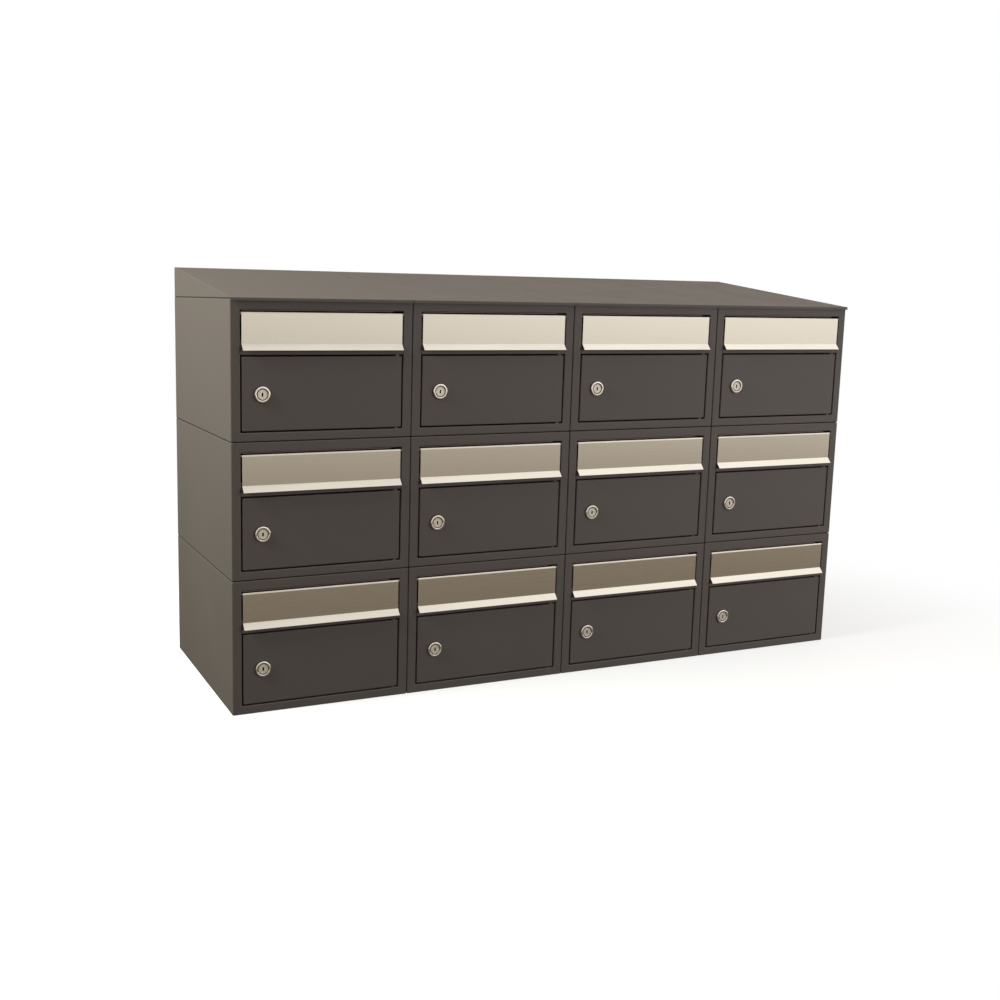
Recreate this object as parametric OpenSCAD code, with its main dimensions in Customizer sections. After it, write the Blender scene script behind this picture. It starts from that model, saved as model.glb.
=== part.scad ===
// Cluster mailbox unit: a wall of stacked sheet-steel letter boxes, each with a steel letter flap over a
// key-locked door, and a sloping rain hood on each column.
// X runs to the right, Y from the front to the back, Z up. Rows count from the top, columns from the left.
// Each box is drawn in its own cell: x 0 is the cell's left edge, y 0 its front face, z 0 its underside.

/* [Unit] */
// Boxes side by side
cols = 4; // [1:1:4]
// Boxes one above the other
rows = 3; // [1:1:3]
// Centre-to-centre distance of two columns
pitch_x = 300; // [285:5:340]
// Centre-to-centre distance of two rows
pitch_z = 218; // [214:1:240]
// Depth of a box, front face to back
box_depth = 385; // [350:5:420]
// Gap between two neighbouring boxes
seam = 0.8; // [0.4:0.1:1.2]
// Thickness of the painted steel sheet
sheet = 1.2; // [1:0.1:1.2]

/* [Front opening] */
// Width of the face left and right of the opening
border_side = 16; // [15:0.5:18]
// Height of the face under the opening
border_bottom = 14; // [13.5:0.5:16]
// Height from the underside of a box to the top of its opening
opening_top = 201; // [200.5:0.5:202]
// Depth of the flange folded in round the opening
jamb_depth = 14; // [13:0.5:14.5]

/* [Crossbar] */
// Height of the crossbar's underside
bar_bottom = 132.5; // [132:0.5:134]
// Height of the crossbar's face
bar_face = 7; // [6:0.5:7]
// Height of the lip behind the flap, over the crossbar's face
bar_upstand = 16; // [14:1:18]
// Depth of the ledge that letters slide over
bar_ledge = 28; // [20:1:32]
// Depth of the flange folded in under the face
bar_return = 10; // [8:0.5:11]

/* [Door] */
// Clear gap all round the door and the flap
door_gap = 2; // [1.8:0.1:2.2]
// Depth of the door's folded edges
door_depth = 12; // [10:0.5:12.5]
// Distance of the hinge axis from the door's right edge
hinge_inset = 7.5; // [6:0.5:8]
// Distance of the hinge axis behind the front face
hinge_setback = 3.6; // [3.6:0.1:4.2]
// Radius of the door's hinge pins
pin_r = 1.8; // [1.5:0.1:1.9]
// Radius of the spacer collars on the pins
collar_r = 3.4; // [3:0.1:3.4]

/* [Flap] */
// Thickness of the stainless flap
flap_sheet = 1.5; // [1.2:0.1:1.6]
// Height of the flap's top edge above the box's underside
flap_top = 198.5; // [198:0.5:199]
// Outer radius of the roll along the flap's top
roll_r = 3.2; // [3:0.1:3.4]
// Height of the bend where the lip starts
bend_z = 149.5; // [148:0.5:151]
// How far the lip reaches out of the front face
lip_out = 8; // [6:1:12]
// Height of the lip's lower edge
lip_z = 140; // [139:0.5:141]
// Radius of the flap's hinge pins
flap_pin_r = 1.7; // [1.5:0.1:1.8]

/* [Lock] */
// Distance of the lock's axis from the cell's left edge
lock_x = 50; // [45:1:60]
// Height of the lock's axis
lock_z = 72.5; // [60:0.5:85]
// Radius of the lock's head
head_r = 12.7; // [12:0.1:13]
// How far the head stands out of the door
head_out = 3.6; // [3:0.1:4]
// Radius of the barrel behind the head
barrel_r = 9.4; // [9:0.1:9.6]
// Radius of the key plug
plug_r = 6; // [5.5:0.1:6.2]
// Distance of the cam behind the front face
cam_y = 15.2; // [15:0.1:16]
// Reach of the cam from the lock's axis
cam_reach = 38; // [37:1:40]
// Width of the cam
cam_w = 14; // [12:1:16]

/* [Hood] */
// Rise of the hood at the back
hood_rise = 52; // [40:1:70]
// Height of the hood's front edge above the boxes
hood_front = 1.4; // [1.2:0.1:3]
// How far the hood's front lip hangs down over the boxes
hood_drop = 3.5; // [2:0.5:4]
// How far the hood stands out in front
hood_overhang = 4; // [3:0.5:8]
// Distance behind the front face where the side cheeks start
cheek_start = 3; // [2:0.5:6]
// Width of the flange that bolts down
hood_flange = 16; // [14:1:20]

/* [Wall fixing] */
// Hole-to-hole distance across a back panel
fix_x = 240; // [200:10:250]
// Hole-to-hole distance up a back panel
fix_z = 150; // [120:10:160]
// Radius of the wall-fixing holes
fix_r = 3.5; // [3:0.5:5]
// Depth of the back panel's folded edges
back_flange = 12; // [10:1:15]

/* [Hidden] */
function cell(kind) = [for (r = [1:rows]) for (c = [1:cols]) str(kind, "_r", r, "c", c)];
$fn = 48;
eps = 0.5;
wall_hole_l = 3;

// The deepest thing in front is the flaps' lip, so the model's middle lies between it and the back
front_y = (lip_out - box_depth) / 2;
top_z = rows * pitch_z;
case_x = seam / 2;
case_w = pitch_x - seam;
case_h = pitch_z - seam;
opening_w = pitch_x - 2 * border_side;
opening_h = opening_top - border_bottom;

// Door
door_x = border_side + door_gap;
door_w = opening_w - 2 * door_gap;
door_z = border_bottom + door_gap;
door_h = bar_bottom - door_gap - door_z;
hinge_x = door_x + door_w - hinge_inset;
pin_fit = 0.02;
running_fit = 0.06;
pin_reach = 4;
pin_head_r = 2.35;
pin_head_h = 2;
collar_play = 0.4;
collar_h = door_gap - collar_play;

// Flap
roll_z = flap_top - roll_r;
lip_slope = atan2(bend_z - lip_z, lip_out);
flap_pin_in = 12;
flap_pin_out = 5;
stop_gap = 0.5;

// Lock
barrel_fit = 0.08;
plug_fit = 0.05;
plug_recess = 1.2;
head_bead = 1.6;
dish_r = 9.2;
dish_depth = 0.9;
barrel_end_gap = 0.2;
plug_end_gap = 0.1;
nut_r = 12.6;
nut_h = 4;
cam_h = 2;
cam_hub_r = 8;
tail_w = 6;
tail_fit = 0.05;
tail_root = 1;
tail_recess = 0.1;
keyway = [1.8, 7, 6.4];
cam_screw_r = 2;
cam_screw_head_r = 4.6;
cam_screw_head_h = 2.5;
cam_screw_l = 8;
cam_screw_seat = 0.05;
cam_screw_end_gap = 1;

// Hood
flange_end_gap = 8;

// Bolts that join the boxes and hold the hoods down
bolt_r = 3;
bolt_hole_r = 3.2;
bolt_head_r = 5.7;
bolt_head_h = 4;
nut_bore_fit = 0.05;
bolt_nut_h = 4.5;
bolt_spare = 0.5;
side_bolt_y = [70, 315];
side_bolt_z = 108;
stack_bolt_x = [75, 225];
stack_bolt_y = 192;
hood_bolt_y = [70, 315];
hood_bolt_x = [case_x + sheet + hood_flange / 2, pitch_x - case_x - sheet - hood_flange / 2];

paint = [0.36, 0.34, 0.31];
steel = [0.78, 0.76, 0.72];
nickel = [0.86, 0.85, 0.82];
zinc = [0.66, 0.67, 0.68];

// Places its children in the cell of row r and column c
module in_cell(r, c) {
    translate([(c - 1 - cols / 2) * pitch_x, front_y, (rows - r) * pitch_z])
        children();
}

// A cylinder along +Y, starting at p
module rod_y(p, r, l, sides = $fn) {
    translate(p) rotate([-90, 0, 0]) cylinder(r = r, h = l, $fn = sides);
}

// A cylinder along +X, starting at p
module rod_x(p, r, l, sides = $fn) {
    translate(p) rotate([0, 90, 0]) cylinder(r = r, h = l, $fn = sides);
}

// A cylinder along +Z, starting at p
module rod_z(p, r, l, sides = $fn) {
    translate(p) cylinder(r = r, h = l, $fn = sides);
}

// A Y-Z outline drawn out along +X from x for length w
module along_x(x, w) {
    translate([x, 0, 0]) rotate([90, 0, 90]) linear_extrude(height = w) children();
}

// ---- Boxes ----

// Holes through the walls that box r, c shares with its neighbours and with the hood
module joining_holes(r, c) {
    for (y = side_bolt_y) {
        if (c > 1) rod_x([-eps, y, side_bolt_z], bolt_hole_r, wall_hole_l);
        if (c < cols) rod_x([pitch_x + eps - wall_hole_l, y, side_bolt_z], bolt_hole_r, wall_hole_l);
    }
    for (x = stack_bolt_x) {
        if (r > 1) rod_z([x, stack_bolt_y, pitch_z + eps - wall_hole_l], bolt_hole_r, wall_hole_l);
        if (r < rows) rod_z([x, stack_bolt_y, -eps], bolt_hole_r, wall_hole_l);
    }
    if (r == 1) for (x = hood_bolt_x) for (y = hood_bolt_y)
        rod_z([x, y, pitch_z + eps - wall_hole_l], bolt_hole_r, wall_hole_l);
}

// One box: four walls and the front face in one folded sheet, with a flange folded in round the opening
module casing(r, c) {
    difference() {
        union() {
            difference() {
                translate([case_x, 0, 0]) cube([case_w, box_depth, case_h]);
                translate([case_x + sheet, sheet, sheet])
                    cube([case_w - 2 * sheet, box_depth, case_h - 2 * sheet]);
            }
            translate([border_side - sheet, 0, border_bottom - sheet])
                cube([opening_w + 2 * sheet, jamb_depth, opening_h + 2 * sheet]);
        }
        translate([border_side, -eps, border_bottom])
            cube([opening_w, jamb_depth + 2 * eps, opening_h]);
        rod_z([hinge_x, hinge_setback, border_bottom - 2 * sheet], pin_r + pin_fit, 3 * sheet);
        rod_x([border_side - 2 * sheet, roll_r, roll_z], flap_pin_r + pin_fit, opening_w + 4 * sheet);
        joining_holes(r, c);
    }
}

module casings_row(r) {
    color(paint) for (c = [1:cols]) in_cell(r, c) casing(r, c);
}

// A shallow pan that closes the back of each box, with four wall-fixing holes
module back_panel() {
    x0 = case_x + sheet;
    w = case_w - 2 * sheet;
    h = case_h - 2 * sheet;
    y0 = box_depth - back_flange;
    difference() {
        translate([x0, y0, sheet]) cube([w, back_flange, h]);
        translate([x0 + sheet, y0 - sheet, 2 * sheet])
            cube([w - 2 * sheet, back_flange, h - 2 * sheet]);
        for (sx = [-1, 1]) for (sz = [-1, 1])
            rod_y([pitch_x / 2 + sx * fix_x / 2, y0, case_h / 2 + sz * fix_z / 2], fix_r, 2 * back_flange);
    }
}

module back_panels() {
    color(paint) for (r = [1:rows]) for (c = [1:cols]) in_cell(r, c) back_panel();
}

// The rail between flap and door: a face, a lip that the flap rests against and a ledge for the letters
module crossbar() {
    face_top = bar_bottom + bar_face;
    lip_y = flap_sheet + stop_gap;
    top = face_top + bar_upstand;
    difference() {
        along_x(border_side, opening_w) polygon([
            [0, bar_bottom], [0, face_top], [lip_y, face_top], [lip_y, top], [bar_ledge, top],
            [bar_ledge, top - sheet], [lip_y + sheet, top - sheet], [lip_y + sheet, face_top - sheet],
            [sheet, face_top - sheet], [sheet, bar_bottom + sheet], [bar_return, bar_bottom + sheet],
            [bar_return, bar_bottom]
        ]);
        rod_z([hinge_x, hinge_setback, bar_bottom - sheet], pin_r + pin_fit, 3 * sheet);
    }
}

module crossbars() {
    color(paint) for (r = [1:rows]) for (c = [1:cols]) in_cell(r, c) crossbar();
}

// ---- Doors ----

// A pan with a hole for the lock and a bore for a pin in its top and bottom edges
module door(r, c) {
    color(paint) in_cell(r, c) difference() {
        translate([door_x, 0, door_z]) cube([door_w, door_depth, door_h]);
        translate([door_x + sheet, sheet, door_z + sheet])
            cube([door_w - 2 * sheet, door_depth, door_h - 2 * sheet]);
        rod_y([lock_x, -eps, lock_z], barrel_r + barrel_fit, 3 * sheet);
        rod_z([hinge_x, hinge_setback, door_z - eps], pin_r + running_fit, door_h + 2 * eps);
    }
}

// A door's pin, drawn for the top edge: the head sits on the frame, the collar fills the gap
module hinge_pin() {
    rod_z([0, 0, -door_gap - pin_reach], pin_r, door_gap + pin_reach + sheet);
    rod_z([0, 0, -collar_h], collar_r, collar_h);
    rod_z([0, 0, sheet], pin_head_r, pin_head_h);
}

module door_hinge_pins() {
    color(paint) for (r = [1:rows]) for (c = [1:cols]) in_cell(r, c)
        translate([hinge_x, hinge_setback, 0]) {
            translate([0, 0, bar_bottom]) hinge_pin();
            translate([0, 0, border_bottom]) mirror([0, 0, 1]) hinge_pin();
        }
}

// ---- Flaps ----

// A flat sheet rolled round its pins at the top, with a lip bent out at the bottom
module flap(r, c) {
    tip = [flap_sheet * sin(lip_slope), -flap_sheet * cos(lip_slope)];
    corner_z = bend_z - flap_sheet * (1 - sin(lip_slope)) / cos(lip_slope);
    color(steel) in_cell(r, c) along_x(door_x, door_w) difference() {
        union() {
            translate([roll_r, roll_z]) circle(r = roll_r);
            polygon([
                [0, roll_z], [flap_sheet, roll_z], [flap_sheet, corner_z],
                [-lip_out + tip[0], lip_z + tip[1]], [-lip_out, lip_z], [0, bend_z]
            ]);
        }
        translate([roll_r, roll_z]) circle(r = flap_pin_r + running_fit);
    }
}

// A flap's pin, drawn for the left end: it passes through the frame's flange and a collar fills the gap
module flap_pin() {
    rod_x([-flap_pin_out, 0, 0], flap_pin_r, flap_pin_out + flap_pin_in);
    rod_x([0, 0, 0], roll_r, collar_h);
}

module flap_hinge_pins() {
    color(steel) for (r = [1:rows]) for (c = [1:cols]) in_cell(r, c)
        translate([0, roll_r, roll_z]) {
            translate([border_side, 0, 0]) flap_pin();
            translate([pitch_x - border_side, 0, 0]) mirror([1, 0, 0]) flap_pin();
        }
}

// ---- Locks ----

// Head, barrel and fixing nut of the cam lock. Its axis is +Y through the origin.
module lock_body(r, c) {
    color(nickel) in_cell(r, c) translate([lock_x, 0, lock_z]) {
        difference() {
            rotate([90, 0, 0]) rotate_extrude() difference() {
                union() {
                    square([head_r - head_bead, head_out]);
                    square([head_r, head_out - head_bead]);
                    translate([head_r - head_bead, head_out - head_bead]) circle(r = head_bead);
                }
                translate([0, head_out - dish_depth]) square([dish_r, 2 * dish_depth]);
                translate([-2 * head_bead, -2 * head_bead]) square([4 * head_r, 2 * head_bead]);
            }
            rod_y([0, -head_out - eps, 0], plug_r + plug_fit, head_out + 2 * eps);
        }
        difference() {
            rod_y([0, 0, 0], barrel_r, cam_y - barrel_end_gap);
            rod_y([0, -eps, 0], plug_r + plug_fit, cam_y + 2 * eps);
        }
        difference() {
            rod_y([0, sheet, 0], nut_r, nut_h, 6);
            rod_y([0, 0, 0], barrel_r + nut_bore_fit, 2 * nut_h);
        }
    }
}

// Key plug, cam and cam screw, which turn together. The cam hangs down when the door is unlocked.
module lock_plug(r, c) {
    plug_front = -head_out + plug_recess;
    color(nickel) in_cell(r, c) translate([lock_x, 0, lock_z]) {
        difference() {
            union() {
                rod_y([0, plug_front, 0], plug_r, cam_y - plug_end_gap - plug_front);
                translate([-tail_w / 2, cam_y - tail_root, -tail_w / 2])
                    cube([tail_w, tail_root + cam_h - tail_recess, tail_w]);
            }
            translate([-keyway[0] / 2, plug_front - eps, -keyway[2] / 2]) cube(keyway);
            rod_y([0, cam_y + cam_h - cam_screw_l, 0], cam_screw_r + nut_bore_fit, cam_screw_l);
        }
        difference() {
            union() {
                rod_y([0, cam_y, 0], cam_hub_r, cam_h);
                translate([-cam_w / 2, cam_y, -cam_reach]) cube([cam_w, cam_h, cam_reach]);
            }
            translate([-tail_w / 2 - tail_fit, cam_y - eps, -tail_w / 2 - tail_fit])
                cube([tail_w + 2 * tail_fit, cam_h + 2 * eps, tail_w + 2 * tail_fit]);
        }
        rod_y([0, cam_y + cam_h + cam_screw_seat, 0], cam_screw_head_r, cam_screw_head_h);
        rod_y([0, cam_y + cam_h - cam_screw_l + cam_screw_end_gap, 0], cam_screw_r, cam_screw_l);
    }
}

// ---- Hoods ----

// The hood of column c: a sloping top with a front lip and a back, two cheeks and two flanges that bolt down
module hood(c) {
    lip_y = -hood_overhang;
    slope_h = sheet / cos(atan2(hood_rise - hood_front, box_depth + hood_overhang));
    cheek_z = hood_front + (hood_rise - hood_front) * (cheek_start - lip_y) / (box_depth - lip_y);
    color(paint) in_cell(1, c) translate([0, 0, pitch_z]) difference() {
        union() {
            along_x(case_x, case_w) polygon([
                [lip_y, -hood_drop], [lip_y, hood_front], [box_depth, hood_rise], [box_depth, 0],
                [box_depth - sheet, 0], [box_depth - sheet, hood_rise - slope_h],
                [lip_y + sheet, hood_front - slope_h], [lip_y + sheet, -hood_drop]
            ]);
            for (x = [case_x, case_x + case_w - sheet]) along_x(x, sheet) polygon([
                [cheek_start, 0], [cheek_start, cheek_z - slope_h / 2],
                [box_depth - sheet / 2, hood_rise - slope_h / 2], [box_depth - sheet / 2, 0]
            ]);
            for (x = [case_x, case_x + case_w - hood_flange - sheet])
                translate([x, cheek_start + flange_end_gap, 0])
                    cube([hood_flange + sheet, box_depth - cheek_start - 2 * flange_end_gap, sheet]);
        }
        for (x = hood_bolt_x) for (y = hood_bolt_y) rod_z([x, y, -eps], bolt_hole_r, wall_hole_l);
    }
}

// ---- Fasteners ----

// A hexagon bolt along +Z with its nut: the clamped walls lie between z = 0 and z = grip
module bolt(grip) {
    rod_z([0, 0, -bolt_head_h], bolt_head_r, bolt_head_h, 6);
    rod_z([0, 0, -eps], bolt_r, grip + bolt_nut_h + bolt_spare + eps);
    difference() {
        rod_z([0, 0, grip], bolt_head_r, bolt_nut_h, 6);
        rod_z([0, 0, grip - eps], bolt_r + nut_bore_fit, bolt_nut_h + 2 * eps);
    }
}

// Bolts between boxes side by side, between boxes one above the other, and between box and hood
module assembly_bolts() {
    grip = seam + 2 * sheet;
    color(zinc) {
        if (cols > 1) for (r = [1:rows]) for (c = [1:cols - 1]) for (y = side_bolt_y)
            in_cell(r, c) translate([pitch_x - grip / 2, y, side_bolt_z]) rotate([0, 90, 0]) bolt(grip);
        if (rows > 1) for (r = [2:rows]) for (c = [1:cols]) for (x = stack_bolt_x)
            in_cell(r, c) translate([x, stack_bolt_y, pitch_z - seam - sheet]) bolt(grip);
        for (c = [1:cols]) for (x = hood_bolt_x) for (y = hood_bolt_y)
            in_cell(1, c) translate([x, y, pitch_z - seam - sheet]) bolt(grip);
    }
}

for (r = [1:rows]) casings_row(r);
for (c = [1:cols]) hood(c);
back_panels();
crossbars();
door_hinge_pins();
flap_hinge_pins();
assembly_bolts();
for (r = [1:rows]) for (c = [1:cols]) {
    door(r, c);
    flap(r, c);
    lock_body(r, c);
    lock_plug(r, c);
}
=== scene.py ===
"""Cluster mailbox unit: the looks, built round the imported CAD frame. Lengths are in metres."""

import math

import bmesh
import bpy
from mathutils import Matrix, Vector


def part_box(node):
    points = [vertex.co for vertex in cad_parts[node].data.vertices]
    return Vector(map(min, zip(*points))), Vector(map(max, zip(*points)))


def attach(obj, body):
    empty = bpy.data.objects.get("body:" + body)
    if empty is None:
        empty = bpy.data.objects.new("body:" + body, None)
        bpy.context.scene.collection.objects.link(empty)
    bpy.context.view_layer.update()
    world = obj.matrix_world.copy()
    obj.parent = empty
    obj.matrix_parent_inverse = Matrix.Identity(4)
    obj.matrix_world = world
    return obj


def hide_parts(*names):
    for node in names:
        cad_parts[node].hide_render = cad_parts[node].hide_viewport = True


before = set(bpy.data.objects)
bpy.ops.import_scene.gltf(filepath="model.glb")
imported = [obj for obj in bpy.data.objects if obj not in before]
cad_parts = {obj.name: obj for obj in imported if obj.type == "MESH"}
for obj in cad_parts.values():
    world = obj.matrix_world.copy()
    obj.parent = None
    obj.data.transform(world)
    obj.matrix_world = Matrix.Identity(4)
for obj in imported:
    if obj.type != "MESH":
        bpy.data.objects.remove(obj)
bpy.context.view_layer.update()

MM = 0.001
COLUMNS = range(1, sum(n.startswith("hood_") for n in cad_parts) + 1)
ROWS = range(1, sum(n.startswith("casings_row_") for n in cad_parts) + 1)
CELLS = [(r, c) for r in ROWS for c in COLUMNS]

SHEET = 1.2 * MM            # painted steel sheet
FLAP_SHEET = 1.5 * MM       # stainless sheet
BEND = 1.7 * MM             # outer radius of a bend in the painted sheet
EDGE = 0.2 * MM             # rounding of a cut edge
GAP = 2 * MM                # clear gap round door and flap
JAMB_DEPTH = 14 * MM
FLAP_HEADROOM = 2.5 * MM    # from the flap's top to the top of the opening
HOOD_GAP = 0.8 * MM         # between a box and its hood
FRONT_RISE = 1.4 * MM       # from the hood's base to the front edge of its top
SHARP = 50                  # degrees: a corner this sharp is a cut edge
ROUND = 25                  # degrees: a turned part is smooth over corners up to this
FRONT_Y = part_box("casings_row_1")[0].y
BACK_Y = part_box("casings_row_1")[1].y
BOXES_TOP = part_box("casings_row_1")[1].z

# The faces of a box whose corners run by x, then y, then z, each low before high
BOX_FACES = {
    "front": (0, 4, 5, 1), "back": (2, 3, 7, 6), "left": (0, 1, 3, 2),
    "right": (4, 6, 7, 5), "bottom": (0, 2, 6, 4), "top": (1, 5, 7, 3),
}


# ---------------------------------------------------------------- materials

def new_material(name):
    """A material with its node tree, its Principled shader and a helper that adds a node."""
    mat = bpy.data.materials.new(name)
    mat.use_nodes = True
    tree = mat.node_tree
    shader = tree.nodes["Principled BSDF"]

    def add(kind, **settings):
        node = tree.nodes.new(kind)
        for key, value in settings.items():
            if key in node.inputs:
                node.inputs[key].default_value = value
            else:
                setattr(node, key, value)
        return node

    return mat, tree.links, shader, add


def stretched(add, links, scale):
    """Object coordinates multiplied by scale along X, Y and Z."""
    coords = add("ShaderNodeTexCoord")
    mapping = add("ShaderNodeMapping", Scale=scale)
    links.new(coords.outputs["Object"], mapping.inputs["Vector"])
    return mapping.outputs["Vector"]


def map_range(node, **limits):
    """Sets the limits of a Map Range node: from_min, from_max, to_min and to_max."""
    for key, value in limits.items():
        node.inputs[key.replace("_", " ").title()].default_value = value


def ramp(add, links, noise, low, high):
    """The part of a noise where most of it lies, carried to the range low to high."""
    node = add("ShaderNodeMapRange")
    map_range(node, from_min=0.3, from_max=0.7, to_min=low, to_max=high)
    links.new(noise, node.inputs["Value"])
    return node.outputs["Result"]


def mix_colour(add, links, factor, dark, light):
    """A colour between dark and light by factor."""
    node = add("ShaderNodeMix", data_type="RGBA")
    node.inputs["A"].default_value = (*dark, 1)
    node.inputs["B"].default_value = (*light, 1)
    links.new(factor, node.inputs["Factor"])
    return node.outputs["Result"]


def multiplied(add, links, first, second):
    """The product of two colours."""
    node = add("ShaderNodeMix", data_type="RGBA", blend_type="MULTIPLY")
    node.inputs["Factor"].default_value = 1
    links.new(first, node.inputs["A"])
    links.new(second, node.inputs["B"])
    return node.outputs["Result"]


def bump(add, links, height, strength, distance, below=None):
    """A normal from a height, on top of the normal of the bump below."""
    node = add("ShaderNodeBump", Strength=strength, Distance=distance)
    links.new(height, node.inputs["Height"])
    if below is not None:
        links.new(below, node.inputs["Normal"])
    return node.outputs["Normal"]


def powder_coat():
    """Warm dark grey powder coat: fine orange peel, slight clouding and a soft satin sheen."""
    mat, links, shader, add = new_material("powder_coat")
    place = stretched(add, links, (1, 1, 1))
    clouds = add("ShaderNodeTexNoise", Scale=9, Detail=4, Roughness=0.6)
    grain = add("ShaderNodeTexNoise", Scale=900, Detail=2, Roughness=0.5)
    peel = add("ShaderNodeTexNoise", Scale=330, Detail=2, Roughness=0.4)
    for texture in (clouds, grain, peel):
        links.new(place, texture.inputs["Vector"])
    base = mix_colour(add, links, clouds.outputs["Fac"], (0.059, 0.0515, 0.047), (0.067, 0.0585, 0.0535))
    specks = mix_colour(add, links, grain.outputs["Fac"], (0.88, 0.88, 0.88), (1.12, 1.12, 1.12))
    links.new(multiplied(add, links, base, specks), shader.inputs["Base Color"])
    links.new(ramp(add, links, clouds.outputs["Fac"], 0.46, 0.54), shader.inputs["Roughness"])
    soft = bump(add, links, peel.outputs["Fac"], 0.25, 0.10 * MM)
    links.new(bump(add, links, grain.outputs["Fac"], 0.35, 0.05 * MM, soft), shader.inputs["Normal"])
    shader.inputs["Specular IOR Level"].default_value = 0.45
    return mat


def brushed_steel():
    """Stainless steel brushed along X: long fine scratches, and a tint that drifts a little."""
    mat, links, shader, add = new_material("brushed_steel")
    long_scratch = stretched(add, links, (4, 2400, 2400))
    fine_scratch = stretched(add, links, (15, 5200, 5200))
    drift = stretched(add, links, (5, 5, 14))
    lines = add("ShaderNodeTexNoise", Scale=1, Detail=3, Roughness=0.6)
    hairs = add("ShaderNodeTexNoise", Scale=1, Detail=2, Roughness=0.6)
    clouds = add("ShaderNodeTexNoise", Scale=1, Detail=2, Roughness=0.5)
    links.new(long_scratch, lines.inputs["Vector"])
    links.new(fine_scratch, hairs.inputs["Vector"])
    links.new(drift, clouds.inputs["Vector"])
    tint = mix_colour(add, links, clouds.outputs["Fac"], (0.685, 0.658, 0.583), (0.705, 0.678, 0.60))
    streaks = mix_colour(add, links, lines.outputs["Fac"], (0.99, 0.99, 0.99), (1.006, 1.006, 1.006))
    links.new(multiplied(add, links, tint, streaks), shader.inputs["Base Color"])
    links.new(ramp(add, links, lines.outputs["Fac"], 0.27, 0.285), shader.inputs["Roughness"])
    rough = bump(add, links, lines.outputs["Fac"], 0.01, 0.003 * MM)
    links.new(bump(add, links, hairs.outputs["Fac"], 0.03, 0.004 * MM, rough), shader.inputs["Normal"])
    tangent = add("ShaderNodeTangent", direction_type="RADIAL", axis="Z")
    links.new(tangent.outputs["Tangent"], shader.inputs["Tangent"])
    shader.inputs["Metallic"].default_value = 1
    shader.inputs["Anisotropic"].default_value = 0.5
    return mat


def plated(name, dark, light, rough_low, rough_high, mottle):
    """A plated metal whose tint and roughness vary over patches mottle times a metre."""
    mat, links, shader, add = new_material(name)
    place = stretched(add, links, (1, 1, 1))
    patches = add("ShaderNodeTexNoise", Scale=mottle, Detail=4, Roughness=0.6)
    grain = add("ShaderNodeTexNoise", Scale=1800, Detail=2, Roughness=0.5)
    links.new(place, patches.inputs["Vector"])
    links.new(place, grain.inputs["Vector"])
    links.new(mix_colour(add, links, patches.outputs["Fac"], dark, light), shader.inputs["Base Color"])
    links.new(ramp(add, links, patches.outputs["Fac"], rough_low, rough_high), shader.inputs["Roughness"])
    links.new(bump(add, links, grain.outputs["Fac"], 0.1, 0.02 * MM), shader.inputs["Normal"])
    shader.inputs["Metallic"].default_value = 1
    return mat


def soft_strip(name, dark, light):
    """Dull rubber or sealant with fine ribs along X. Its near-black version is also used as painted shade in
    seams and round the locks.
    """
    mat, links, shader, add = new_material(name)
    place = stretched(add, links, (40, 900, 900))
    ribs = add("ShaderNodeTexNoise", Scale=1, Detail=2, Roughness=0.5)
    links.new(place, ribs.inputs["Vector"])
    links.new(mix_colour(add, links, ribs.outputs["Fac"], dark, light),
              shader.inputs["Base Color"])
    links.new(ramp(add, links, ribs.outputs["Fac"], 0.5, 0.7), shader.inputs["Roughness"])
    links.new(bump(add, links, ribs.outputs["Fac"], 0.2, 0.05 * MM), shader.inputs["Normal"])
    return mat


PAINT = powder_coat()
STEEL = brushed_steel()
BRIGHT = plated("bright_nickel", (0.9, 0.865, 0.79), (0.95, 0.92, 0.85), 0.16, 0.24, 300)
NICKEL = plated("satin_nickel", (0.8, 0.755, 0.665), (0.88, 0.835, 0.745), 0.42, 0.52, 300)
# Near black painted on the inside of a keyway, as shade.
KEYWAY_PAINTED_SHADE = plated("keyway_painted_shade", (0.012, 0.011, 0.01), (0.02, 0.018, 0.016), 0.5, 0.7, 900)
# Dull steel of the hinge pins; on the lock's groove the same dark is painted shade.
DULL_STEEL_AND_GROOVE_SHADE = plated("dull_steel_and_groove_shade", (0.17, 0.16, 0.145), (0.25, 0.235, 0.21), 0.35, 0.5, 200)
ZINC = plated("zinc_plate", (0.48, 0.5, 0.52), (0.68, 0.68, 0.66), 0.3, 0.5, 160)
STRIP = soft_strip("sealing_strip", (0.11, 0.08, 0.062), (0.15, 0.112, 0.088))
# Near black for the foam tape; in the seams and round the locks it is painted shade.
BLACK_SEALANT_AND_SEAM_SHADE = soft_strip("black_sealant_and_painted_shade", (0.012, 0.011, 0.01), (0.02, 0.018, 0.017))


# ---------------------------------------------------------------- mesh tools

def new_piece(name, verts, faces, material, body, *nodes):
    """A mesh piece that rides on body and replaces nodes."""
    mesh = bpy.data.meshes.new(name)
    mesh.from_pydata([tuple(v) for v in verts], [], faces)
    mesh.shade_smooth()
    mesh.materials.append(material)
    piece = bpy.data.objects.new(name, mesh)
    bpy.context.scene.collection.objects.link(piece)
    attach(piece, body)
    if nodes:
        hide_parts(*nodes)
    return piece


def add_bevel(piece, width, segments, degrees):
    """Rounds the edges where faces meet at more than degrees."""
    bevel = piece.modifiers.new("bevel", "BEVEL")
    bevel.width = width
    bevel.segments = segments
    bevel.limit_method = "ANGLE"
    bevel.angle_limit = math.radians(degrees)
    bevel.miter_outer = "MITER_ARC"


def face_outward(piece):
    """Turns the faces of a closed mesh outwards."""
    work = bmesh.new()
    work.from_mesh(piece.data)
    bmesh.ops.recalc_face_normals(work, faces=work.faces)
    work.to_mesh(piece.data)
    work.free()


def even_shading(piece):
    """Flat faces stay flat and rounded edges run smoothly into them."""
    piece.modifiers.new("normals", "WEIGHTED_NORMAL").keep_sharp = True


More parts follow.
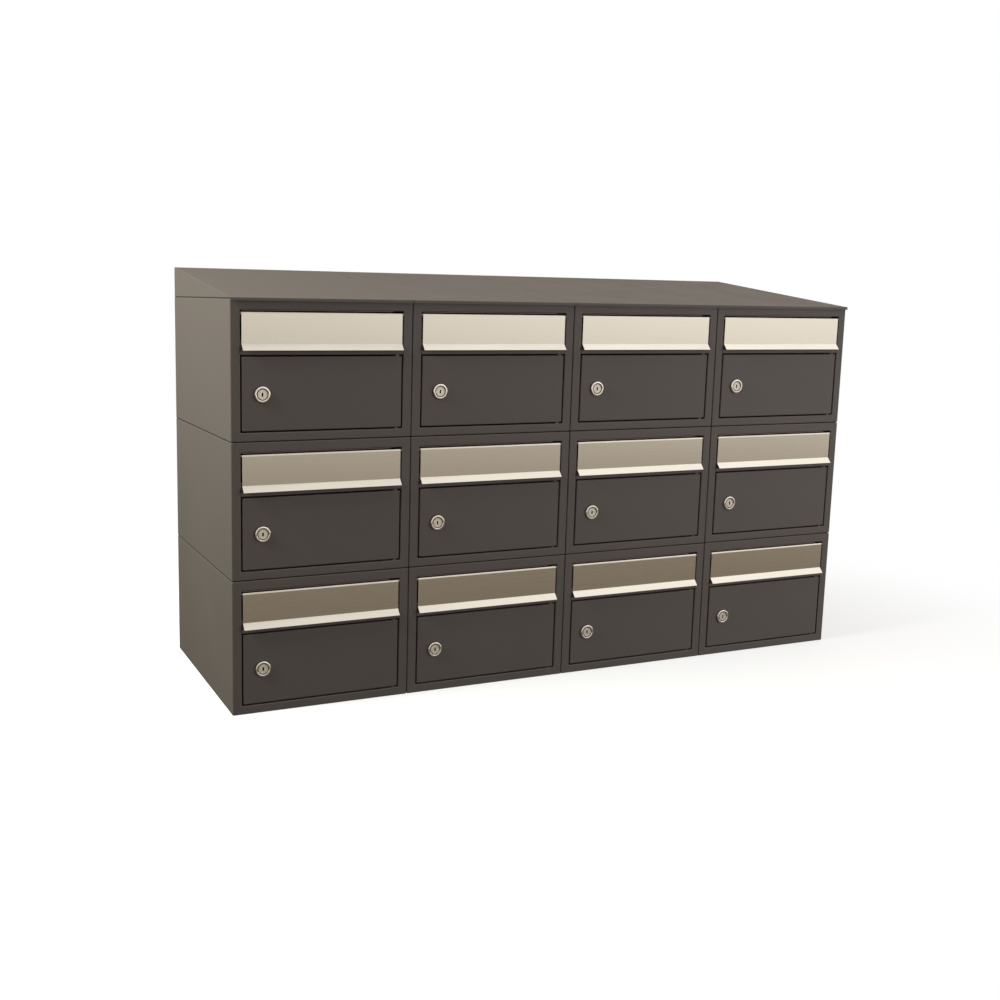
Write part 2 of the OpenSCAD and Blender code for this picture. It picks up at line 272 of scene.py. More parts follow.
def folded(piece):
    """Turns a one-sided surface into bent sheet: its corners become bends, and the sheet lies behind it."""
    add_bevel(piece, BEND, segments=4, degrees=30)
    solid = piece.modifiers.new("sheet", "SOLIDIFY")
    solid.thickness = SHEET
    solid.offset = -1
    solid.use_even_offset = True
    add_bevel(piece, EDGE, segments=2, degrees=SHARP)
    even_shading(piece)


def drill(piece, holes, radius, depth):
    """Cuts round holes along Y through piece, and leaves it as a plain mesh. The cuts come after the bends
    and the sheet, and before the rounding of the cut edges."""
    after_sheet = 2
    cutters = []
    for place in holes:
        bpy.ops.mesh.primitive_cylinder_add(vertices=40, radius=radius, depth=depth, location=place,
                                            rotation=(math.radians(90), 0, 0))
        cutters.append(bpy.context.object)
        cut = piece.modifiers.new("hole", "BOOLEAN")
        cut.object = cutters[-1]
        cut.solver = "EXACT"
        piece.modifiers.move(len(piece.modifiers) - 1, after_sheet)
    bpy.context.view_layer.update()
    mesh = bpy.data.meshes.new_from_object(piece.evaluated_get(bpy.context.evaluated_depsgraph_get()))
    piece.modifiers.clear()
    piece.data = mesh
    for cutter in cutters:
        bpy.data.objects.remove(cutter)


def corners(lo, hi):
    """The corners of a box, in the order that BOX_FACES needs."""
    return [(x, y, z) for x in (lo[0], hi[0]) for y in (lo[1], hi[1]) for z in (lo[2], hi[2])]


def pan(name, lo, hi, opened, material, body, *nodes):
    """A folded pan that fills lo to hi, with no sheet on the side that opened names."""
    faces = [face for side, face in BOX_FACES.items() if side != opened]
    piece = new_piece(name, corners(lo, hi), faces, material, body, *nodes)
    folded(piece)
    return piece


def block(name, lo, hi, rounding, material):
    """A bar or tape of soft stuff with rounded edges, fixed to the boxes."""
    piece = new_piece(name, corners(lo, hi), list(BOX_FACES.values()), material, "root")
    face_outward(piece)
    add_bevel(piece, rounding, segments=3, degrees=SHARP)
    even_shading(piece)


def fillet_pairs(path, radius, thickness, steps=6):
    """Pairs of points along both sides of a bent sheet. path runs along its left side, and the sheet is on
    the right. Each bend has radius on its inside."""
    pairs = []
    points = [Vector(p) for p in path]
    for i, here in enumerate(points):
        before = (here - points[i - 1]).normalized() if i > 0 else None
        after = (points[i + 1] - here).normalized() if i < len(points) - 1 else None
        if before is None or after is None:
            along = after or before
            right = Vector((along.y, -along.x))
            pairs.append((here, here + right * thickness))
            continue
        turn = before.x * after.y - before.y * after.x
        half = before.angle(after) / 2
        left_r = radius if turn > 0 else radius + thickness
        side = 1 if turn > 0 else -1
        left_of = Vector((-before.y, before.x)) * side
        centre = here - before * left_r * math.tan(half) + left_of * left_r
        for k in range(steps + 1):
            spin = Matrix.Rotation(side * 2 * half * k / steps, 2)
            arm = spin @ -left_of
            right_r = left_r + thickness * side
            pairs.append((centre + arm * left_r, centre + arm * right_r))
    return pairs


def strip_along_x(name, pairs, x0, x1, material, body, *nodes):
    """The bent sheet given by pairs of Y-Z points, drawn out along X."""
    n = len(pairs)
    verts = []
    for x in (x0, x1):
        verts += [(x, p.x, p.y) for p, _ in pairs]
        verts += [(x, q.x, q.y) for _, q in pairs]
    faces = []
    for i in range(n - 1):
        left, right = i, n + i
        faces.append((left, left + 1, 2 * n + left + 1, 2 * n + left))
        faces.append((right + 1, right, 2 * n + right, 2 * n + right + 1))
        faces.append((left + 1, left, right, right + 1))
        faces.append((2 * n + left, 2 * n + left + 1, 2 * n + right + 1, 2 * n + right))
    for i in (0, n - 1):
        end = (i, n + i, 3 * n + i, 2 * n + i)
        faces.append(end[::-1] if i else end)
    piece = new_piece(name, verts, faces, material, body, *nodes)
    face_outward(piece)
    add_bevel(piece, EDGE, segments=2, degrees=SHARP)
    even_shading(piece)
    return piece


def turned(name, profile, centre, material, body, *nodes, steps=64, loop=True):
    """A turned part round an axis along Y. profile holds (radius, y), where a radius may be a function of the
    angle. A profile that is no loop gets a flat face at both ends."""
    verts, faces = [], []
    for radius, y in profile:
        for k in range(steps):
            angle = 2 * math.pi * k / steps
            r = radius(angle) if callable(radius) else radius
            verts.append((centre.x + r * math.cos(angle), y, centre.z + r * math.sin(angle)))
    rings = len(profile)
    for i in range(rings if loop else rings - 1):
        a, b = i * steps, (i + 1) % rings * steps
        faces += [(a + k, a + (k + 1) % steps, b + (k + 1) % steps, b + k) for k in range(steps)]
    if not loop:
        for i in (0, rings - 1):
            ring = tuple(range(i * steps, (i + 1) * steps))
            faces.append(ring if i else ring[::-1])
    piece = new_piece(name, verts, faces, material, body, *nodes)
    face_outward(piece)
    piece.data.set_sharp_from_angle(angle=math.radians(ROUND))
    even_shading(piece)
    return piece


def paint_faces(piece, material, wanted):
    """Gives material to the faces whose corners all pass wanted."""
    piece.data.materials.append(material)
    for face in piece.data.polygons:
        if all(wanted(piece.data.vertices[i].co) for i in face.vertices):
            face.material_index = len(piece.data.materials) - 1


def arc(cx, cy, radius, start, end, steps=6):
    """Points of an arc, from start to end degrees."""
    out = []
    for k in range(steps + 1):
        a = math.radians(start + (end - start) * k / steps)
        out.append((cx + radius * math.cos(a), cy + radius * math.sin(a)))
    return out


# ---------------------------------------------------------------- boxes

def casing(r, c):
    """One box: its walls, front face and the flange round the opening are one folded sheet."""
    hood_lo, hood_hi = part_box(f"hood_{c}")
    row_lo, row_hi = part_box(f"casings_row_{r}")
    door_lo, door_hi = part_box(f"door_r{r}c{c}")
    flap_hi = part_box(f"flap_r{r}c{c}")[1]
    shell_lo, shell_hi = (hood_lo.x, FRONT_Y, row_lo.z), (hood_hi.x, BACK_Y, row_hi.z)
    open_lo = (door_lo.x - GAP, FRONT_Y, door_lo.z - GAP)
    open_hi = (door_hi.x + GAP, FRONT_Y + JAMB_DEPTH, flap_hi.z + FLAP_HEADROOM)
    verts = corners(shell_lo, shell_hi) + corners(open_lo, open_hi)
    around = [BOX_FACES[side] for side in ("left", "right", "bottom", "top")]
    first = len(verts) // 2
    faces = around + [tuple(first + i for i in reversed(face)) for face in around]
    outer, inner = BOX_FACES["front"], [first + i for i in BOX_FACES["front"]]
    faces += [(outer[i], outer[(i + 1) % 4], inner[(i + 1) % 4], inner[i]) for i in range(4)]
    piece = new_piece(f"casing_r{r}c{c}", verts, faces, PAINT, "root", f"casings_row_{r}")
    folded(piece)


def back_panel(r, c):
    """The pan that closes a box's back, with its wall-fixing holes."""
    depth, hole_radius, hole_x, hole_z = 12 * MM, 3.5 * MM, 120 * MM, 75 * MM
    hood_lo, hood_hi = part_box(f"hood_{c}")
    row_lo, row_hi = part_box(f"casings_row_{r}")
    lo = (hood_lo.x + SHEET, BACK_Y - depth, row_lo.z + SHEET)
    hi = (hood_hi.x - SHEET, BACK_Y, row_hi.z - SHEET)
    piece = pan(f"back_panel_r{r}c{c}", lo, hi, "front", PAINT, "root", "back_panels")
    cx, cz = (lo[0] + hi[0]) / 2, (lo[2] + hi[2]) / 2
    holes = [(cx + sx * hole_x, BACK_Y, cz + sz * hole_z) for sx in (-1, 1) for sz in (-1, 1)]
    drill(piece, holes, hole_radius, 4 * SHEET)


def crossbar(r, c):
    """The rail between flap and door, with the lip that the flap rests against and the letters' ledge."""
    face, upstand, lip_back, ledge, under, bend = 7 * MM, 16 * MM, 2 * MM, 28 * MM, 10 * MM, 0.3 * MM
    door_lo, door_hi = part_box(f"door_r{r}c{c}")
    z0 = door_hi.z + GAP
    z1 = z0 + face
    z2 = z1 + upstand
    path = [(FRONT_Y + under, z0), (FRONT_Y, z0), (FRONT_Y, z1), (FRONT_Y + lip_back, z1),
            (FRONT_Y + lip_back, z2), (FRONT_Y + ledge, z2)]
    pairs = fillet_pairs(path, bend, SHEET)
    strip_along_x(f"crossbar_r{r}c{c}", pairs, door_lo.x - GAP, door_hi.x + GAP, PAINT, "root", "crossbars")


def sealing_strip(r, c):
    """The thin strip in the gap over the flap, which stops short of the right end."""
    short, height, depth, inset, rounding = 16 * MM, 1.1 * MM, 5 * MM, 0.6 * MM, 0.4 * MM
    flap_lo, flap_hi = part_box(f"flap_r{r}c{c}")
    top = flap_hi.z + FLAP_HEADROOM
    lo = (flap_lo.x, FRONT_Y + inset, top - height)
    hi = (flap_hi.x - short, FRONT_Y + inset + depth, top)
    block(f"sealing_strip_r{r}c{c}", lo, hi, rounding, STRIP)


# ---------------------------------------------------------------- doors and flaps

def door(r, c):
    """A pan open at the back, with the lock's hole."""
    name = f"door_r{r}c{c}"
    lo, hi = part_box(name)
    lock_hole = 9.5 * MM
    piece = pan("visual_" + name, lo, hi, "back", PAINT, name, name)
    lock_lo, lock_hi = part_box(f"lock_body_r{r}c{c}")
    middle = (lock_lo + lock_hi) / 2
    drill(piece, [(middle.x, FRONT_Y, middle.z)], lock_hole, 4 * SHEET)


def flap(r, c):
    """Rolled round its pins at the top, flat, and bent out to a lip at the bottom."""
    roll, bend_below_top, bend_radius, lip_drop = 3.2 * MM, 49 * MM, 1 * MM, 9.5 * MM
    roll_from, roll_to, roll_step = 172, -116, -12
    name = f"flap_r{r}c{c}"
    lo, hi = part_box(name)
    bend_z = hi.z - bend_below_top
    path = [(lo.y, bend_z - lip_drop), (FRONT_Y, bend_z), (FRONT_Y, hi.z - roll)]
    pairs = fillet_pairs(path, bend_radius, FLAP_SHEET, steps=10)
    centre = Vector((FRONT_Y + roll, hi.z - roll))
    for degrees in range(roll_from, roll_to, roll_step):
        a = math.radians(degrees)
        arm = Vector((math.cos(a), math.sin(a)))
        pairs.append((centre + arm * roll, centre + arm * (roll - FLAP_SHEET)))
    strip_along_x("visual_" + name, pairs, lo.x, hi.x, STEEL, name, name)


# ---------------------------------------------------------------- locks

BARREL_R = 9.4 * MM         # outside radius of the lock's barrel
BORE_R = 6.05 * MM          # radius of the bore that the plug turns in


def from_axis(v, axis):
    """How far v is from a line along Y through axis."""
    return math.hypot(v.x - axis.x, v.z - axis.z)


def slot_outline(width, height):
    """The radius of a rectangle's outline as a function of the angle."""
    def radius(angle):
        across, up = abs(math.cos(angle)), abs(math.sin(angle))
        tiny = 1e-6
        return min(width / 2 / max(across, tiny), height / 2 / max(up, tiny))
    return radius


def hexagon(corner, limit):
    """The radius of a hexagon's outline, cut off at limit, as a function of the angle."""
    def radius(angle):
        from_flat = (angle + math.pi / 6) % (math.pi / 3) - math.pi / 6
        return min(corner * math.cos(math.pi / 6) / math.cos(from_flat), limit)
    return radius


def lock_head(name, axis, head_r, head_out, door_name, body_node):
    """From the bore over the dish, the groove and the rounded bezel to the door's face. The groove's faces
    are painted dull dark steel as shade.
    """
    y = FRONT_Y
    dish, dish_out, groove_out, wall_out = 7.6 * MM, 2.5 * MM, 1.3 * MM, 2.7 * MM
    groove_in_r, groove_out_r, bezel_r, bezel_round = 8.0 * MM, 9.0 * MM, 10.2 * MM, 1.7 * MM
    lead, slope_in, slope_down = 0.2 * MM, 0.6 * MM, 0.3 * MM
    edge, undercut, slack = 0.3 * MM, 0.25 * MM, 0.1 * MM
    profile = [(BORE_R, y), (BORE_R, y - dish_out + lead), (BORE_R + lead, y - dish_out),
               (dish, y - dish_out), (dish + lead, y - dish_out + lead), (groove_in_r, y - groove_out),
               (groove_out_r, y - groove_out), (groove_out_r + lead, y - wall_out),
               (bezel_r - slope_in, y - head_out + slope_down), (bezel_r, y - head_out)]
    profile += arc(head_r - bezel_round, y - head_out + bezel_round, bezel_round, -90, 0, steps=8)
    profile += [(head_r, y - edge), (head_r - undercut, y)]
    head = turned(name, profile, axis, BRIGHT, door_name, body_node)

    def in_dish(v):
        return from_axis(v, axis) < dish + lead + slack

    def in_groove(v):
        return (dish + slack < from_axis(v, axis) < groove_out_r + lead + slack
                and v.y > y - wall_out - slack)

    paint_faces(head, NICKEL, in_dish)
    # Painted shade: the groove's faces get the darker dull steel.
    paint_faces(head, DULL_STEEL_AND_GROOVE_SHADE, in_groove)


def lock_shade_ring(name, axis, head_r, door_name):
    """A thin black ring under the head: painted shade, standing in for the dark outline that shadow leaves
    round the lock.
    """
    past_head, thick, rounding = 0.7 * MM, 0.4 * MM, 0.15 * MM
    y, rim = FRONT_Y, head_r + past_head
    profile = [(BARREL_R, y), (rim, y), (rim, y - thick + rounding), (rim - rounding, y - thick),
               (BARREL_R, y - thick)]
    turned(name, profile, axis, BLACK_SEALANT_AND_SEAM_SHADE, door_name)


def lock_barrel(name, axis, end, door_name, body_node):
    """The threaded barrel, from the door's face to end."""
    y, pitch, depth = FRONT_Y, 1.5 * MM, 0.7 * MM
    crest_from, crest_to, root_at = 0.35, 0.55, 0.95
    root = BARREL_R - depth
    profile = [(BORE_R, y), (root, y)]
    for k in range(int((end - y) / pitch)):
        profile += [(BARREL_R, y + (k + crest_from) * pitch), (BARREL_R, y + (k + crest_to) * pitch),
                    (root, y + (k + root_at) * pitch)]
    profile += [(root, end), (BORE_R, end)]
    turned(name, profile, axis, NICKEL, door_name, body_node)


def lock_nut(name, axis, door_name, body_node):
    """The hexagon nut behind the door, chamfered at both faces."""
    corner, face_r, height, chamfer, start = 12.6 * MM, 11.34 * MM, 4 * MM, 0.7 * MM, FRONT_Y + SHEET
    side, face = hexagon(corner, corner), hexagon(corner, face_r)
    profile = [(BARREL_R, start), (face, start), (side, start + chamfer), (side, start + height - chamfer),
               (face, start + height), (BARREL_R, start + height)]
    turned(name, profile, axis, ZINC, door_name, body_node, steps=72)


def lock_plug(name, axis, face_y, end, plug_name, plug_node):
    """The plug with its keyway, whose inside is painted near black as shade."""
    plug_r, chamfer, lead, keyway_depth = 6 * MM, 0.2 * MM, 0.15 * MM, 6 * MM
    keyway_reach, slack = 3.3 * MM, 0.1 * MM
    keyway, keyway_mouth = slot_outline(2.4 * MM, 5.8 * MM), slot_outline(2.6 * MM, 6.0 * MM)
    profile = [(keyway, face_y + keyway_depth), (keyway, face_y + lead), (keyway_mouth, face_y),
               (plug_r - chamfer, face_y), (plug_r, face_y + chamfer), (plug_r, end)]
    plug = turned(name, profile, axis, NICKEL, plug_name, plug_node, steps=96, loop=False)

    def in_keyway(v):
        return (from_axis(v, axis) < keyway_reach
                and face_y + slack < v.y < face_y + keyway_depth + slack)

    # Painted shade: the keyway's inside faces get near black.
    paint_faces(plug, KEYWAY_PAINTED_SHADE, in_keyway)


def lock_cam(name, axis, start, height, reach, plug_name, plug_node):
    """A round hub and a straight arm that hangs down by reach."""
    hub, half, cut, rounding = 8 * MM, 7 * MM, 2 * MM, 0.3 * MM
    outline = arc(0, 0, hub, -20, 200, steps=22)
    outline += [(-half, -hub), (-half, cut - reach), (cut - half, -reach), (half - cut, -reach),
                (half, cut - reach), (half, -hub)]
    n = len(outline)
    verts = [(axis.x + x, y, axis.z + z) for y in (start, start + height) for x, z in outline]
    faces = [tuple(range(n)), tuple(reversed(range(n, 2 * n)))]
    faces += [(i, n + i, n + (i + 1) % n, (i + 1) % n) for i in range(n)]
    piece = new_piece(name, verts, faces, ZINC, plug_name, plug_node)
    face_outward(piece)
    add_bevel(piece, rounding, segments=2, degrees=SHARP)
    even_shading(piece)


def cam_screw(name, axis, start, plug_name, plug_node):
    """The screw that holds the cam, with a hexagon socket."""
    radius, height, crown, shoulder = 4.6 * MM, 2.5 * MM, 1 * MM, 0.3 * MM
    socket_r, socket_floor = 2.3 * MM, 0.8 * MM
    socket = hexagon(socket_r, socket_r)
    profile = [(radius, start), (radius, start + height - crown),
               (radius - shoulder, start + height - shoulder), (radius - crown, start + height),
               (socket, start + height), (socket, start + socket_floor)]
    turned(name, profile, axis, ZINC, plug_name, plug_node, steps=48, loop=False)


def lock(r, c):
    """Head, black ring of painted shade under the head, threaded barrel and nut ride on the door; plug, cam
    and screw turn in them.
    """
    place = f"r{r}c{c}"
    cam_height, behind_cam, clear = 2 * MM, 4.55 * MM, 0.1 * MM
    body_node, plug_node = f"lock_body_{place}", f"lock_plug_{place}"
    door_name, plug_name = f"door_{place}", f"plug_{place}"
    lo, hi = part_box(body_node)
    plug_lo, plug_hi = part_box(plug_node)
    axis = (lo + hi) / 2
    head_r, cam_y = (hi.x - lo.x) / 2, plug_hi.y - behind_cam
    lock_head(f"lock_head_{place}", axis, head_r, FRONT_Y - lo.y, door_name, body_node)
    # A black ring round the head, as painted shade.
    lock_shade_ring(f"lock_shade_ring_{place}", axis, head_r, door_name)
    lock_barrel(f"lock_barrel_{place}", axis, hi.y, door_name, body_node)
    lock_nut(f"lock_nut_{place}", axis, door_name, body_node)
    lock_plug(f"lock_plug_visual_{place}", axis, plug_lo.y, cam_y - clear, plug_name, plug_node)
    lock_cam(f"lock_cam_{place}", axis, cam_y, cam_height, axis.z - plug_lo.z, plug_name, plug_node)
    cam_screw(f"cam_screw_{place}", axis, cam_y + cam_height, plug_name, plug_node)


# ---------------------------------------------------------------- hoods

def hood_joint_shade(c):
    """Black bead in the joint between the hoods of columns c and c + 1: painted shade, dark where the seam is
    in shade.
    It fills the groove that their bends leave, to just below their tops."""
    sunk, height, slack, into_bend = 0.35 * MM, 4 * MM, 0.01 * MM, 0.68 * MM
    lo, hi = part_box(f"hood_{c}")
    rise = BOXES_TOP + HOOD_GAP + FRONT_RISE
    path = [(lo.y + sunk, lo.z + slack), (lo.y + sunk, rise - sunk), (hi.y - sunk, hi.z - sunk),
            (hi.y - sunk, rise)]
    inner = [(lo.y + sunk + height, lo.z + slack), (lo.y + sunk + height, rise - height),
             (hi.y - sunk - height, hi.z - sunk - height), (hi.y - sunk - height, rise)]
    pairs = [(Vector(p), Vector(q)) for p, q in zip(path, inner)]
    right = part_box(f"hood_{c + 1}")[0].x
    strip_along_x(f"hood_joint_shade_{c}", pairs, hi.x - into_bend, right + into_bend, BLACK_SEALANT_AND_SEAM_SHADE, "root")


def hood_seal(c):
    """Black foam tape between the hood and its box: under both flanges and under the hood's back."""
    inset, tape, front_end, rounding = 1.5 * MM, 10 * MM, 12 * MM, 0.2 * MM
    lo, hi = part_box(f"hood_{c}")
    left, right, back = lo.x + inset, hi.x - inset, hi.y - inset
    front = FRONT_Y + front_end
    tapes = {
        "left": ((left, front), (left + tape, back)),
        "right": ((right - tape, front), (right, back)),
        "back": ((left + tape, back - tape), (right - tape, back)),
    }
    for side, (start, end) in tapes.items():
        block(f"hood_seal_{side}_{c}", (*start, BOXES_TOP), (*end, BOXES_TOP + HOOD_GAP), rounding, BLACK_SEALANT_AND_SEAM_SHADE)


def seam_shade_beads(name, z0, z1):
    """Black beads in the groove between two bends, from z0 to z1, along both ends of the unit: painted shade,
    dark where the seam is in shade.
    """
    sunk, into_bend, width, front_end, rounding = 0.45 * MM, 0.52 * MM, 1 * MM, 4 * MM, 0.2 * MM
    lo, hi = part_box("casings_row_1")
    for side, x in (("left", lo.x + sunk), ("right", hi.x - sunk - width)):
        block(f"{name}_bead_{side}", (x, FRONT_Y + front_end, z0 - into_bend),
              (x + width, BACK_Y - width, z1 + into_bend), rounding, BLACK_SEALANT_AND_SEAM_SHADE)


def hood(c):
    """Sloping top, front lip, back and two cheeks with bolt-down flanges. A cheek starts behind the lip."""
    cheek_start, flange, flange_cut = 3 * MM, 16 * MM, 8 * MM    # flange_cut slants the ends of a flange
    name = f"hood_{c}"
    lo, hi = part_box(name)
    base = BOXES_TOP + HOOD_GAP
    rise = base + FRONT_RISE
    slope = (hi.z - rise) / (hi.y - lo.y)
    cheek_y = FRONT_Y + cheek_start
    cheek_z = rise + slope * (cheek_y - lo.y)
    verts = []
    for x, inner_x in ((lo.x, lo.x + flange), (hi.x, hi.x - flange)):
        verts += [(x, lo.y, lo.z), (x, lo.y, rise), (x, cheek_y, cheek_z), (x, hi.y, hi.z),
                  (x, cheek_y, base), (x, hi.y, base),
                  (inner_x, cheek_y + flange_cut, base), (inner_x, hi.y - flange_cut, base)]
    across = [(0, 8, 9, 1), (1, 9, 10, 2), (2, 10, 11, 3), (3, 11, 13, 5)]      # lip, top and back
    sides = [(2, 3, 5, 4), (10, 12, 13, 11), (4, 5, 7, 6), (12, 14, 15, 13)]    # cheeks and flanges
    piece = new_piece("visual_" + name, verts, across + sides, PAINT, "root", name)
    folded(piece)


# ---------------------------------------------------------------- build

for r, c in CELLS:
    casing(r, c)
    back_panel(r, c)
    crossbar(r, c)
    sealing_strip(r, c)
    door(r, c)
    flap(r, c)
    lock(r, c)
for c in COLUMNS:
    hood(c)
    hood_seal(c)
    if c + 1 in COLUMNS:
        hood_joint_shade(c)
seam_shade_beads("hood", BOXES_TOP, BOXES_TOP + HOOD_GAP)
for r in ROWS[:-1]:
    seam_shade_beads(f"row_{r}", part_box(f"casings_row_{r + 1}")[1].z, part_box(f"casings_row_{r}")[0].z)
for node, material in (("door_hinge_pins", DULL_STEEL_AND_GROOVE_SHADE), ("flap_hinge_pins", DULL_STEEL_AND_GROOVE_SHADE), ("assembly_bolts", ZINC)):
    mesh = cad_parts[node].data
    mesh.materials.clear()
    mesh.materials.append(material)


# ---------------------------------------------------------------- floor, light and camera

def pale_floor():
    """A pale matt floor. Near the unit up to a third of it is painted light: it glows white, which lightens
    the unit's shadow, and the glow fades out some way off.
    """
    half, glow_radius = 30, 1.5
    mat, links, shader, add = new_material("pale_floor")
    grain = add("ShaderNodeTexNoise", Scale=40, Detail=3, Roughness=0.5)
    links.new(mix_colour(add, links, grain.outputs["Fac"], (0.86, 0.86, 0.86), (0.9, 0.9, 0.9)),
              shader.inputs["Base Color"])
    shader.inputs["Roughness"].default_value = 0.9
    shader.inputs["Specular IOR Level"].default_value = 0.1
    near = add("ShaderNodeTexGradient", gradient_type="SPHERICAL")
    links.new(stretched(add, links, (1 / glow_radius, 1 / glow_radius, 1)), near.inputs["Vector"])
    glow_share = add("ShaderNodeMapRange", interpolation_type="SMOOTHSTEP")
    map_range(glow_share, from_min=0.1, from_max=0.6, to_min=0, to_max=0.32)
    links.new(near.outputs["Fac"], glow_share.inputs["Value"])
    # Painted light: the floor glows near the unit, lightening its shadow.
    shadow_lightening_glow = add("ShaderNodeEmission", Strength=1)
    blend = add("ShaderNodeMixShader")
    links.new(glow_share.outputs["Result"], blend.inputs["Fac"])
    links.new(shadow_lightening_glow.outputs["Emission"], blend.inputs[1])
    links.new(shader.outputs["BSDF"], blend.inputs[2])
    links.new(blend.outputs["Shader"], mat.node_tree.nodes["Material Output"].inputs["Surface"])
    mesh = bpy.data.meshes.new("floor")
    mesh.from_pydata([(-half, -half, 0), (half, -half, 0), (half, half, 0), (-half, half, 0)], [],
                     [(0, 1, 2, 3)])
    mesh.materials.append(mat)
    floor = bpy.data.objects.new("floor", mesh)
    bpy.context.scene.collection.objects.link(floor)
    floor.visible_glossy = False
    floor.visible_diffuse = False


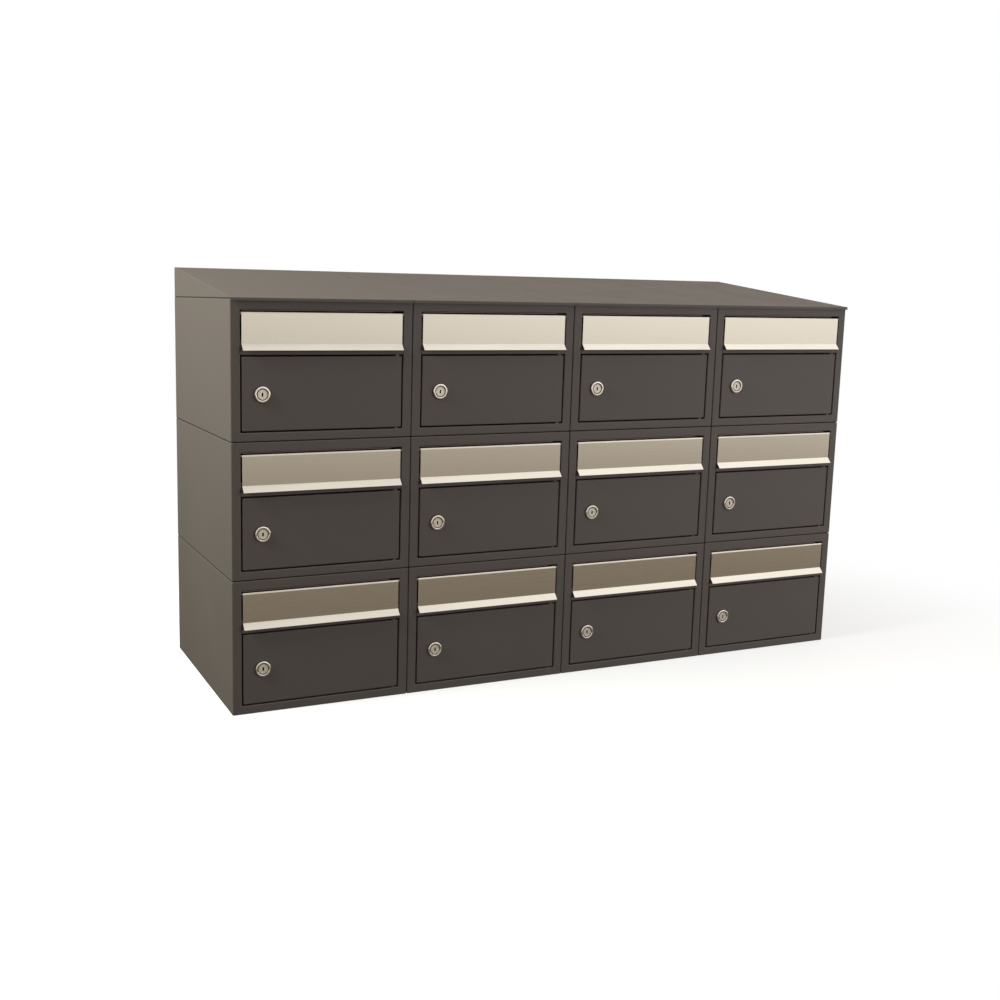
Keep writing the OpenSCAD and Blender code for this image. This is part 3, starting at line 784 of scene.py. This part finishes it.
def studio_world():
    """A white room for the camera. Diffuse light and reflections each have a sky of their own: dim below the
    horizon, and in front of the unit brighter to the right."""
    world = bpy.data.worlds.new("studio")
    bpy.context.scene.world = world
    world.use_nodes = True
    nodes, links = world.node_tree.nodes, world.node_tree.links
    coords = nodes.new("ShaderNodeTexCoord")
    direction = nodes.new("ShaderNodeSeparateXYZ")
    links.new(coords.outputs["Generated"], direction.inputs["Vector"])

    def along(axis, *stops):
        """A ramp along one axis of the direction. X and Y run from -1 to 1, and Z from -0.5, below the
        horizon, to 1. A stop holds its place on the ramp, its level and its warmth."""
        carry = nodes.new("ShaderNodeMapRange")
        map_range(carry, from_min=-0.5 if axis == "Z" else -1)
        levels = nodes.new("ShaderNodeValToRGB")
        elements = levels.color_ramp.elements
        while len(elements) < len(stops):
            elements.new(0.5)
        for element, (position, level, warmth) in zip(elements, stops):
            element.position = position
            element.color = (level, level * (1 - 0.5 * warmth), level * (1 - warmth), 1)
        links.new(direction.outputs[axis], carry.inputs["Value"])
        links.new(carry.outputs["Result"], levels.inputs["Fac"])
        return levels.outputs["Color"]

    def mixed(first, second, factor=None, blend="MIX"):
        """The two colours mixed by factor, or all of the blend without one."""
        node = nodes.new("ShaderNodeMix")
        node.data_type = "RGBA"
        node.blend_type = blend
        node.inputs["Factor"].default_value = 1
        links.new(first, node.inputs["A"])
        links.new(second, node.inputs["B"])
        if factor:
            links.new(factor, node.inputs["Factor"])
        return node.outputs["Result"]

    soft_upward = along("Z", (0, 0.1, 0.25), (0.14, 0.15, 0.25), (0.24, 0.42, 0.16), (0.32, 1.2, 0.1),
                        (0.36, 1.3, 0.1), (0.5, 0.85, 0.1), (0.75, 0.85, 0.12), (1, 0.75, 0.12))
    soft_across = along("X", (0, 0.5, 0), (0.5, 0.6, 0), (0.64, 0.87, 0), (0.8, 1.08, 0), (1, 1.08, 0))
    soft = mixed(soft_upward, soft_across, blend="MULTIPLY")

    # Three bands of the mirrored sky, from low to high: mirrored by the flaps of the lower rows, by those of
    # the top row, and by the lips
    low_band = along("X", (0, 0.5, 0), (0.5, 0.75, 0), (0.66, 0.95, 0), (0.73, 0.72, 0.06),
                     (0.8, 0.77, 0.05), (1, 0.77, 0.05))
    high_band = along("X", (0, 0.5, 0), (0.5, 0.75, 0), (0.66, 0.82, 0), (0.73, 1.03, 0), (0.8, 1.1, 0),
                      (1, 1.11, 0))
    lip_band = along("X", (0, 0.5, 0), (0.5, 0.6, 0), (0.66, 0.66, 0), (0.73, 0.89, 0), (0.8, 1.09, 0),
                     (1, 1.1, 0))
    to_high, to_lips = along("Z", (0.26, 0, 0), (0.31, 1, 0)), along("Z", (0.42, 0, 0), (0.55, 1, 0))
    mirrored_across = mixed(mixed(low_band, high_band, to_high), lip_band, to_lips)
    mirrored_upward = along("Z", (0, 0.2, 0.3), (0.14, 0.21, 0.4), (0.24, 0.38, 0.4), (0.32, 1.33, 0.1),
                            (0.36, 1.45, 0.08), (0.5, 0.85, 0.06), (0.75, 1.3, 0.06), (1, 1.65, 0.08))
    mirrored_behind = along("Y", (0, 1, 0), (0.5, 1, 0), (0.62, 0.68, 0.17), (1, 0.65, 0.2))
    mirrored = mixed(mirrored_upward, mirrored_across, blend="MULTIPLY")
    mirrored = mixed(mirrored, mirrored_behind, blend="MULTIPLY")

    path = nodes.new("ShaderNodeLightPath")
    white = nodes.new("ShaderNodeRGB")
    white.outputs["Color"].default_value = (1, 1, 1, 1)
    lit = mixed(soft, mirrored, path.outputs["Is Glossy Ray"])
    seen = mixed(lit, white.outputs["Color"], path.outputs["Is Camera Ray"])
    links.new(seen, nodes["Background"].inputs["Color"])


def soft_box(name, location, target, size, watts, colour):
    """A rectangular lamp at location that shines towards target. It does not show in reflections."""
    light = bpy.data.lights.new(name, "AREA")
    light.color = colour
    light.shape = "RECTANGLE"
    light.size, light.size_y = size
    light.energy = watts
    lamp = bpy.data.objects.new(name, light)
    bpy.context.scene.collection.objects.link(lamp)
    lamp.location = location
    lamp.rotation_euler = (Vector(target) - Vector(location)).to_track_quat("-Z", "Y").to_euler()
    lamp.visible_glossy = False


def camera():
    """Left of the unit and a little above its middle, looking slightly down."""
    place = Vector((-1.0505, -1.9044, 0.6573))
    azimuth, elevation, roll = math.radians(-23.61), math.radians(8.89), math.radians(0.98)
    lens, sensor_width = 41.71, 36      # millimetres
    shift = (0.09, -0.02)
    ahead = Vector((-math.sin(azimuth) * math.cos(elevation), math.cos(azimuth) * math.cos(elevation),
                    -math.sin(elevation)))
    level_right = ahead.cross(Vector((0, 0, 1))).normalized()
    level_up = level_right.cross(ahead)
    right = math.cos(roll) * level_right + math.sin(roll) * level_up
    up = math.cos(roll) * level_up - math.sin(roll) * level_right
    data = bpy.data.cameras.new("camera")
    data.sensor_width = sensor_width
    data.lens = lens
    data.shift_x, data.shift_y = shift
    cam = bpy.data.objects.new("camera", data)
    bpy.context.scene.collection.objects.link(cam)
    cam.matrix_world = Matrix.Translation(place) @ Matrix((right, up, -ahead)).transposed().to_4x4()
    bpy.context.scene.camera = cam


pale_floor()
studio_world()
soft_box("key", location=(-2, -0.1, 1.6), target=(-0.5, 0, 0.4), size=(1, 0.6), watts=120,
         colour=(0.97, 1, 0.9))
soft_box("fill", location=(1.3, -1.7, 0.35), target=(0.2, 0, 0.25), size=(1.2, 0.8), watts=21,
         colour=(1, 0.95, 0.94))
camera()
bpy.context.scene.view_settings.view_transform = "Standard"
